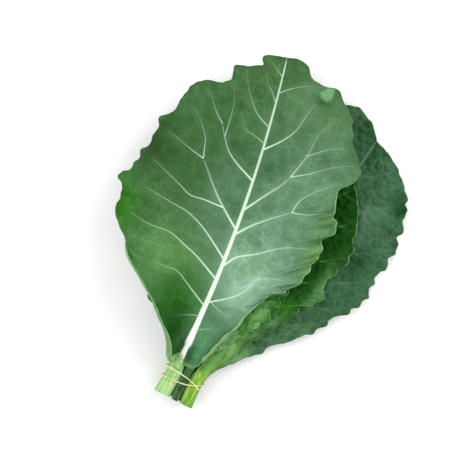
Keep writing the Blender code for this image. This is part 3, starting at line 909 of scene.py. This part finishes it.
def leaf_object(fine, lines, far, gap):
    """The finished leaf as one mesh, with attributes for its colours."""
    rows, columns = fine.shape
    count = rows * columns
    upper, lower = fine.upper.reshape(-1, 3), fine.lower.reshape(-1, 3)
    top = grid_faces(rows, columns)[:, ::-1]
    bottom = grid_faces(rows, columns, count)
    left = np.arange(rows - 1) * columns
    right = left + columns - 1
    sides = np.vstack([
        np.column_stack([left, left + columns, left + columns + count, left + count]),
        np.column_stack([right, right + count, right + columns + count, right + columns]),
    ])
    end = (rows - 1) * columns + np.arange(columns - 1)
    tip = np.column_stack([end, end + 1, end + 1 + count, end + count])
    ring = np.concatenate([np.arange(columns), count + np.arange(columns - 1, -1, -1)])
    rim = np.vstack([upper[:columns], lower[:columns][::-1]])
    middle = rim.mean(axis=0)
    cap_points, cap_faces = [], []
    size = len(ring)
    for level in CUT_LEVELS:
        sunk = np.array([0, CUT_DEPTH * (1 - level), 0])
        cap_points.append(middle + (rim - middle) * level + sunk)
    cap_points = np.vstack([*cap_points, middle + np.array([[0, CUT_DEPTH, 0]])])
    cap_start = 2 * count
    for k, i in np.ndindex(len(CUT_LEVELS) - 1, size):
        a, j = cap_start + k * size, (i + 1) % size
        cap_faces.append((a + i, a + j, a + size + j, a + size + i))
    last = cap_start + (len(CUT_LEVELS) - 1) * size
    centre = cap_start + len(CUT_LEVELS) * size
    fan = [(last + i, last + (i + 1) % size, centre) for i in range(size)]
    vein_start = centre + 1
    vein_points, vein_faces, strength, under = vein_ribbons(fine, lines)
    vein_points = np.array(vein_points)
    vein_points[:, 2] = np.maximum(vein_points[:, 2], TABLE_CLEARANCE)
    fold_points, fold_faces, fold_stems, fold_tones = small_folds(fine)
    fold_start = vein_start + len(vein_points)
    points = np.vstack([upper, lower, cap_points, vein_points, fold_points])
    faces = [*top.tolist(), *bottom.tolist(), *sides.tolist(), *tip.tolist(), *cap_faces, *fan]
    for quad in vein_faces:
        quad = [vein_start + i for i in quad]
        faces.append(quad if under[quad[0] - vein_start] else quad[::-1])
    faces += [[fold_start + i for i in face] for face in fold_faces]
    mesh = bpy.data.meshes.new(fine.leaf.name + "_look")
    mesh.from_pydata([tuple(p) for p in points], [], faces)
    mesh.validate()
    mesh.shade_smooth()

    def colour_attribute(name, values):
        made = mesh.attributes.new(name, "FLOAT_COLOR", "POINT")
        colours = np.column_stack([values, np.ones(len(values))])
        made.data.foreach_set("color", colours.ravel().astype(np.float32))

    def attribute(name, on_upper, on_lower, on_cap, on_veins, on_fold=0.0):
        values = np.concatenate([
            np.broadcast_to(on_upper, fine.shape).ravel(),
            np.broadcast_to(on_lower, fine.shape).ravel(),
            np.broadcast_to(on_cap, len(cap_points)),
            np.broadcast_to(on_veins, len(vein_points)),
            np.broadcast_to(on_fold, len(fold_points)),
        ]).astype(np.float32)
        made = mesh.attributes.new(name, "FLOAT", "POINT")
        made.data.foreach_set("value", values)

    off = np.linalg.norm(fine.upper[..., :2] - fine.upper[:, columns // 2, :2][:, None], axis=2)
    share = fine.run / fine.row_knots[-1]
    half_width = np.minimum(3.0 * MM, 3.9 * MM * (1 - 0.80 * share))
    half_width = half_width * (0.5 + 0.5 * smooth_step((share - 0.05) / 0.15))
    rib = smooth_step((half_width - off) / (0.7 * MM) + 0.5) * smooth_step((fine.row - 3.5) / 3)
    rib = rib * (1 - 0.42 * smooth_step((share - 0.22) / 0.6))
    attribute("vein", rib, rib, 0.0, strength)
    attribute("margin_distance", fine.margin_distance(), fine.margin_distance(), 0.01, 0.01, 0.01)
    attribute("vein_distance", far, far, 0.02, 0.0, 0.01)
    stem = 1 - smooth_step((fine.row - 3.8) / 2.2) * np.ones(fine.shape)
    attribute("stem", stem, stem, 1.0, 0.0, fold_stems)
    depth = [np.full(size, 1.0 - 0.2 * k) for k in range(len(CUT_LEVELS))]
    attribute("cut", 0.0, 0.0, np.concatenate([*depth, [0.4]]), 0.0)
    attribute("underside", 0.0, 1.0, 0.0, under)
    crease = 1 - smooth_step(gap / 0.16)
    attribute("crease", crease, crease, 0.0, 0.0)
    u, v = find(fine.leaf, points[:, :2])
    # Blade colours with their painted shade and painted light, kept in the tone attribute
    tones = leaf_tones_and_painted_shading(fine.leaf.name, u, v)
    tones[fold_start:] = fold_tones
    colour_attribute("tone", tones)
    rims = [
        pale_rim(fine.leaf.name, *find(fine.leaf, grid[..., :2])) for grid in (fine.upper, fine.lower)
    ]
    attribute("pale_rim", *rims, 1.0, 1.0, 1.0)
    length = fine.leaf.length * LEAF_LENGTH
    attribute("along", fine.run / length, fine.run / length, 0.0, 0.5)
    obj = bpy.data.objects.new(fine.leaf.name + "_look", mesh)
    bpy.context.scene.collection.objects.link(obj)
    return obj


# ---- materials ----


class Nodes:
    """Short calls for building a node material."""

    def __init__(self, name):
        self.material = bpy.data.materials.new(name)
        self.material.use_nodes = True
        self.tree = self.material.node_tree
        self.shader = self.tree.nodes["Principled BSDF"]
        self.position = self.tree.nodes.new("ShaderNodeTexCoord").outputs["Object"]

    def put(self, socket, value):
        if isinstance(value, bpy.types.NodeSocket):
            self.tree.links.new(value, socket)
        else:
            socket.default_value = value

    def attribute(self, name):
        node = self.tree.nodes.new("ShaderNodeAttribute")
        node.attribute_name = name
        return node.outputs["Fac"]

    def colour_attribute(self, name):
        node = self.tree.nodes.new("ShaderNodeAttribute")
        node.attribute_name = name
        return node.outputs["Color"]

    def maths(self, operation, a, b=0.0, c=0.0):
        node = self.tree.nodes.new("ShaderNodeMath")
        node.operation = operation
        for socket, value in zip(node.inputs, (a, b, c)):
            self.put(socket, value)
        return node.outputs[0]

    def times(self, a, b):
        return self.maths("MULTIPLY", a, b)

    def ramp(self, value, low, high, to_low=0.0, to_high=1.0):
        node = self.tree.nodes.new("ShaderNodeMapRange")
        node.interpolation_type = "SMOOTHSTEP"
        for socket, given in zip(node.inputs, (value, low, high, to_low, to_high)):
            self.put(socket, given)
        return node.outputs[0]

    def mix(self, share, a, b, blend="MIX"):
        node = self.tree.nodes.new("ShaderNodeMix")
        node.data_type = "RGBA"
        node.blend_type = blend
        for name, value in (("Factor_Float", share), ("A_Color", a), ("B_Color", b)):
            socket = next(s for s in node.inputs if s.identifier == name)
            self.put(socket, (*value, 1) if isinstance(value, tuple) and len(value) == 3 else value)
        return next(s for s in node.outputs if s.identifier == "Result_Color")

    def noise(self, scale, detail=3.0, roughness=0.55, where=None, distortion=0.0):
        node = self.tree.nodes.new("ShaderNodeTexNoise")
        given = (where or self.position, scale, detail, roughness, distortion)
        for socket, value in zip(("Vector", "Scale", "Detail", "Roughness", "Distortion"), given):
            self.put(node.inputs[socket], value)
        return node.outputs["Fac"], node.outputs["Color"]

    def cells(self, scale, where):
        node = self.tree.nodes.new("ShaderNodeTexVoronoi")
        node.feature = "DISTANCE_TO_EDGE"
        self.put(node.inputs["Vector"], where)
        self.put(node.inputs["Scale"], scale)
        return node.outputs["Distance"]

    def warped(self, scale, amount):
        """Positions pushed about by a noise, so that cells and lines wander."""
        _, colour = self.noise(scale, 2.0)
        node = self.tree.nodes.new("ShaderNodeVectorMath")
        node.operation = "MULTIPLY_ADD"
        self.put(node.inputs[0], colour)
        node.inputs[1].default_value = (amount, amount, amount)
        self.put(node.inputs[2], self.position)
        return node.outputs[0]

    def bump(self, height, strength, distance):
        node = self.tree.nodes.new("ShaderNodeBump")
        for socket, value in zip(("Height", "Strength", "Distance"), (height, strength, distance)):
            self.put(node.inputs[socket], value)
        return node.outputs["Normal"]

    def shade(self, settings):
        """Sets the shader's inputs by their names."""
        for name, value in settings.items():
            self.put(self.shader.inputs[name], value)


# Blade colours in thousandths: the ground colour, then patches as along, across, reach along,
# reach across, red, green, blue and share. Some grounds and patches are painted shade or painted light,
# as noted.
TONES_AND_PAINTED_SHADING = {
    "leaf_front": [
        (38, 114, 36),
        (600, -200, 100, 130, 25, 82, 22, 600),
        (310, -150, 110, 130, 86, 238, 66, 850),
        (530, -50, 120, 45, 70, 158, 78, 750),
        (880, 120, 160, 160, 68, 158, 66, 800),
        # The next three patches: the right half's waxy bloom, partly painted light where that half
        # faces the lamp
        (660, 200, 160, 140, 98, 216, 114, 900),
        (420, 130, 190, 130, 122, 262, 152, 950),
        (320, 120, 100, 80, 232, 428, 284, 850),
        (410, 50, 50, 30, 180, 340, 200, 600),
        (700, 60, 50, 30, 45, 125, 56, 700),
        (930, -50, 60, 100, 48, 120, 34, 750),
        # Painted shade of the fold near the tip
        (860, 190, 40, 40, 75, 165, 50, 400),
        (906, 145, 12, 20, 15, 75, 20, 800),
        (420, -320, 75, 55, 26, 155, 3, 970),
        (620, -280, 100, 30, 20, 50, 12, 700),
        # These two patches: the leaf's deep green with painted shade of the pocket between the
        # folded-up left wing and the midrib
        (220, -70, 90, 70, 14, 108, 4, 900),
        (130, -45, 70, 35, 5, 62, 2, 1000),
        (100, 50, 90, 45, 74, 232, 100, 900),
        (70, 20, 30, 12, 6, 70, 4, 800),
        (440, 275, 130, 28, 130, 300, 80, 800),
    ],
    "leaf_second": [
        # Ground: the leaf's green, partly painted shadow where it lies beside the front leaf's margin
        (30, 150, 15),
        (120, 60, 80, 70, 120, 310, 95, 950),
        (170, 80, 60, 30, 200, 430, 180, 800),
        (280, 145, 100, 34, 135, 370, 105, 950),
        (200, 160, 20, 16, 8, 55, 5, 900),
    ],
    "leaf_middle": [
        # Dark ground: the leaf's own dark green, partly painted shadow where the front leaf overhangs
        # it
        (6, 54, 4),
        (80, 20, 110, 50, 165, 350, 58, 1000),
        (190, 40, 55, 24, 205, 420, 130, 900),
        (280, 60, 60, 50, 90, 260, 75, 900),
        (340, 120, 70, 45, 80, 215, 76, 800),
        (420, 120, 60, 50, 30, 160, 14, 700),
        (500, 195, 130, 30, 95, 275, 85, 900),
    ],
    "leaf_right": [
        (33, 100, 42),
        (140, 70, 60, 40, 140, 350, 110, 850),
        (300, 130, 80, 70, 65, 160, 70, 600),
        # The next two dark patches are painted shadow along the middle leaf's margin
        (650, 200, 50, 35, 10, 50, 12, 950),
        (870, 200, 35, 50, 6, 40, 8, 950),
        (780, 140, 70, 50, 64, 156, 82, 700),
        (760, 250, 60, 30, 56, 133, 76, 600),
        (360, 200, 35, 14, 110, 210, 75, 400),
    ],
    "leaf_bottom": [
        (50, 130, 50),
        (200, 0, 100, 100, 80, 190, 70, 600),
    ],
}
# Shares of the waxy bloom, of the creases' pale colour and of the dark blotches; the veins' colour,
# and the stem's two colours
LOOKS = {
    "leaf_front": (0.22, 0.30, 0.20, (0.72, 0.89, 0.70), (0.46, 0.66, 0.30), (0.20, 0.42, 0.13)),
    "leaf_second": (0.20, 0.75, 0.55, (0.24, 0.50, 0.20), (0.06, 0.17, 0.05), (0.010, 0.05, 0.010)),
    "leaf_middle": (0.15, 0.60, 0.60, (0.14, 0.36, 0.11), (0.36, 0.56, 0.08), (0.08, 0.26, 0.02)),
    "leaf_right": (0.42, 1.00, 0.92, (0.15, 0.28, 0.18), (0.10, 0.25, 0.05), (0.03, 0.12, 0.015)),
    "leaf_bottom": (0.15, 0.30, 0.30, (0.20, 0.34, 0.18), (0.30, 0.46, 0.24), (0.09, 0.16, 0.08)),
}
UNDERSIDE_COLOUR = (0.22, 0.38, 0.18)
UNDERSIDE_VEIN = (0.60, 0.74, 0.48)
MIDRIB_FOOT = (0.94, 0.99, 0.93)
FRESH_RIM = (0.26, 0.47, 0.20)
DRY_RIM = (0.030, 0.042, 0.026)


def leaf_material(name):
    bloom_share, crease_share, blotch_share, vein_colour, stem_colour, stem_shade = LOOKS[name]
    n = Nodes(name)
    # The tone attribute holds the blade's colours together with their painted shade and painted light
    tone = n.colour_attribute("tone")
    broad, _ = n.noise(16, 3)
    patches, _ = n.noise(55, 4, 0.6)
    speckle, _ = n.noise(520, 4, 0.65)
    wander = n.warped(70, 0.010)
    small_net = n.ramp(n.cells(170, wander), 0.0, 0.06, 1.0, 0.0)
    finest_net = n.ramp(n.cells(480, wander), 0.0, 0.10, 1.0, 0.0)
    near_vein = n.ramp(n.attribute("vein_distance"), 0.0, 0.009, 1.0, 0.0)
    deeper = n.mix(1.0, tone, (0.62, 0.72, 0.55), "MULTIPLY")
    lighter = n.mix(1.0, tone, (1.18, 1.10, 1.18), "MULTIPLY")
    darkest = n.mix(1.0, tone, (0.30, 0.46, 0.28), "MULTIPLY")
    pale = n.mix(0.02, n.mix(1.0, tone, (1.85, 1.50, 1.80), "MULTIPLY"), vein_colour)
    colour = n.mix(n.ramp(patches, 0.30, 0.72), deeper, lighter)
    blotches, _ = n.noise(58, 3, 0.55, None, 0.6)
    colour = n.mix(n.ramp(blotches, 0.46, 0.62, 0.0, blotch_share), colour, darkest)
    colour = n.mix(n.ramp(speckle, 0.40, 0.66, 0.0, 0.50), colour, deeper)
    wide_net = n.ramp(n.cells(72, n.warped(30, 0.022)), 0.0, 0.035, 1.0, 0.0)
    crease_wobble = n.ramp(patches, 0.35, 0.6, 0.4 * crease_share, crease_share)
    for layer, share in (
        (small_net, n.ramp(patches, 0.3, 0.7, 0.12, 0.40)),
        (finest_net, 0.22),
        (wide_net, n.ramp(patches, 0.35, 0.65, 0.10, 0.60)),
        (n.ramp(broad, 0.36, 0.64), bloom_share),
        (n.attribute("crease"), crease_wobble),
        (near_vein, 0.20),
    ):
        colour = n.mix(n.times(layer, share), colour, pale)
    underside = n.mix(n.ramp(patches, 0.35, 0.65, 0.10, 0.35), UNDERSIDE_COLOUR, colour)
    colour = n.mix(n.times(n.attribute("underside"), 0.85), colour, underside)
    streaks = n.tree.nodes.new("ShaderNodeMapping")
    streaks.inputs["Scale"].default_value = (1.0, 0.08, 1.0)
    n.put(streaks.inputs["Vector"], n.position)
    fibre, _ = n.noise(420, 3, 0.6, streaks.outputs[0])
    stem_tone = n.mix(n.ramp(fibre, 0.36, 0.66), stem_shade, stem_colour)
    stem_tone = n.mix(n.ramp(patches, 0.54, 0.66, 0.0, 0.55), stem_tone, stem_shade)
    stem_tone = n.mix(n.ramp(speckle, 0.56, 0.70, 0.0, 0.35), stem_tone, (0.62, 0.70, 0.52))
    colour = n.mix(n.attribute("stem"), colour, stem_tone)
    rim_wobble, _ = n.noise(150, 2)
    width = n.ramp(rim_wobble, 0.3, 0.7, 0.0009, 0.0024)
    rim = n.ramp(n.attribute("margin_distance"), 0.0002, width, 0.85, 0.0)
    rim_colour = n.mix(n.attribute("pale_rim"), DRY_RIM, FRESH_RIM)
    colour = n.mix(rim, colour, rim_colour)
    vein = n.attribute("vein")
    if name == "leaf_front":
        vein_colour = n.mix(n.ramp(n.attribute("along"), 0.26, 0.50), MIDRIB_FOOT, vein_colour)
    vein_tone = n.mix(n.attribute("underside"), vein_colour, UNDERSIDE_VEIN)
    colour = n.mix(n.ramp(vein, 0.0, 1.0), colour, vein_tone)
    pith = n.mix(n.ramp(fibre, 0.4, 0.6), stem_colour, (0.66, 0.74, 0.48))
    colour = n.mix(n.ramp(n.attribute("cut"), 0.0, 0.3), colour, pith)
    relief = n.maths("MULTIPLY_ADD", small_net, -0.6, n.times(finest_net, -0.25))
    relief = n.maths("ADD", relief, n.times(speckle, 0.4))
    n.shade({
        "Base Color": colour,
        "Roughness": n.ramp(speckle, 0.3, 0.7, 0.46, 0.62),
        "Specular IOR Level": 0.03,
        "Subsurface Weight": 0.05,
        "Subsurface Radius": (0.0012, 0.0026, 0.0006),
        "Subsurface Scale": 1.0,
        "Normal": n.bump(relief, 0.5, 0.0006),
    })
    return n.material


def band_material():
    n = Nodes("rubber")
    patches, _ = n.noise(240, 4, 0.6)
    grain, _ = n.noise(2600, 3, 0.6)
    colour = n.mix(n.ramp(patches, 0.35, 0.65), (0.60, 0.56, 0.20), (0.80, 0.78, 0.45))
    n.shade({
        "Base Color": colour,
        "Roughness": n.ramp(grain, 0.3, 0.7, 0.45, 0.65),
        "Subsurface Weight": 0.15,
        "Subsurface Radius": (0.002, 0.0014, 0.0006),
        "Normal": n.bump(grain, 0.3, 0.0002),
    })
    return n.material


# ---- putting it together ----


def lay_leaves():
    """The coarse leaves from the table upwards, each laid on those before it."""
    pile, laid = Pile(), {}
    for leaf in LAID_LEAVES:
        laid[leaf.name] = leaf_surfaces(leaf, pile.tree)
        pile.add(laid[leaf.name][0])
    return laid


def build_leaves():
    laid = lay_leaves()
    surfaces = [surface for both in laid.values() for surface in both]
    low = np.min([surface.min(axis=(0, 1)) for surface in surfaces], axis=0)
    high = np.max([surface.max(axis=(0, 1)) for surface in surfaces], axis=0)
    shift = np.array([-(low[0] + high[0]) / 2, -(low[1] + high[1]) / 2, 0.0])
    pile, objects = Pile(), {}
    for leaf in LAID_LEAVES:
        fine = Fine(leaf, *laid[leaf.name])
        trace_scallops(fine)
        lines = vein_lines(fine)
        far = vein_distance(fine, lines)
        gap = quilt(fine)
        ruffle_margin(fine)
        pucker_blade(fine, far, gap)
        thin_margin(fine)
        clear_below(fine, pile.tree)
        roll_margins(fine)
        obj = leaf_object(fine, lines, far, gap)
        obj.data.materials.append(leaf_material(leaf.name))
        pile.add(fine.upper)
        obj.location = shift
        objects[leaf.name] = obj
    return objects, shift


def stem_outline():
    reach = BAND_GAP + BAND_THICKNESS / 2
    points = []
    for leaf in LEAVES:
        centre = stem_centre(leaf)
        drift = (BAND_MIDDLE + BAND_SPREAD) * math.tan(math.radians(leaf.heading))
        for angle in np.linspace(0, 2 * math.pi, 48, endpoint=False):
            x = centre.x + (leaf.stem * STEM_WIDTH / 2 + reach) * math.cos(angle)
            z = centre.z + (STEM_HEIGHT / 2 + reach) * math.sin(angle)
            points += [(x, z), (x + drift, z)]
    hull = [points[i] for i in convex_hull_2d(points)]
    return spline([*hull, hull[0]], np.linspace(0, 1, BAND_SAMPLES + 1))[:-1]


def build_band(shift):
    outline = stem_outline()
    middle = outline.mean(axis=0)
    off_crossing = np.abs(outline[:, 0] - BAND_CROSSING) + (outline[:, 1] < middle[1])
    outline = np.roll(outline, -np.argmin(off_crossing), axis=0)
    curve = bpy.data.curves.new("band_look", "CURVE")
    curve.dimensions = "3D"
    curve.bevel_depth = BAND_THICKNESS / 2 * BAND_SLIMNESS
    curve.bevel_resolution = 4
    path = curve.splines.new("POLY")
    count = BAND_TURNS * len(outline)
    path.points.add(count - 1)
    for i in range(count):
        spot = outline[i % len(outline)]
        swing = 2 * math.pi * (BAND_TURNS - 1) * i / count
        outward = (spot - middle) / np.linalg.norm(spot - middle)
        x, z = spot + outward * band_lift() * (1 + math.cos(swing))
        parting = math.sin(swing) / math.hypot(math.sin(swing), BAND_SUDDENNESS)
        path.points[i].co = (x, BAND_MIDDLE + BAND_SPREAD * parting, z, 1)
        path.points[i].radius = 1 - BAND_THINNING * math.sin(3.1 * swing + 1) ** 2
    path.use_cyclic_u = True
    obj = bpy.data.objects.new("band_look", curve)
    bpy.context.scene.collection.objects.link(obj)
    bpy.context.view_layer.update()
    mesh = bpy.data.meshes.new_from_object(obj)
    bpy.data.objects.remove(obj)
    band = bpy.data.objects.new("band_look", mesh)
    mesh.materials.clear()
    mesh.materials.append(band_material())
    mesh.shade_smooth()
    band.location = shift
    bpy.context.scene.collection.objects.link(band)
    return band


def build_stage(shift):
    scene = bpy.context.scene
    bpy.ops.mesh.primitive_plane_add(size=FLOOR_SIZE, location=(0, 0, 0))
    floor = bpy.context.object
    floor.name = "floor"
    n = Nodes("floor")
    grain, _ = n.noise(30, 2)
    white = n.mix(n.ramp(grain, 0.3, 0.7), (0.90, 0.90, 0.90), (0.92, 0.92, 0.92))
    n.shade({"Base Color": white, "Roughness": 0.9})
    floor.data.materials.append(n.material)
    scene.view_settings.view_transform = "Standard"

    world = bpy.data.worlds.new("studio")
    scene.world = world
    world.use_nodes = True
    background = world.node_tree.nodes["Background"].inputs
    background["Color"].default_value = (1, 1, 1, 1)
    background["Strength"].default_value = WORLD_STRENGTH

    for name, place_at, size, power in LAMPS:
        light = bpy.data.lights.new(name, "AREA")
        light.size = size
        light.energy = power
        lamp = bpy.data.objects.new(name, light)
        lamp.location = place_at
        aim = Vector((shift[0], 0, 0)) - Vector(place_at)
        lamp.rotation_euler = aim.to_track_quat("-Z", "Y").to_euler()
        scene.collection.objects.link(lamp)

    lens = bpy.data.cameras.new("camera")
    lens.lens = LENS
    camera = bpy.data.objects.new("camera", lens)
    x, y, z = CAMERA_PLACE
    camera.location = (shift[0] + x, shift[1] + y, z)
    camera.rotation_euler = (0, 0, math.radians(CAMERA_TURN))
    scene.collection.objects.link(camera)
    scene.camera = camera


objects, shift = build_leaves()
for leaf_name, piece in objects.items():
    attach(piece, "root")
    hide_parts(leaf_name)
band = build_band(shift)
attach(band, "root")
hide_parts("tie_band")
build_stage(shift)
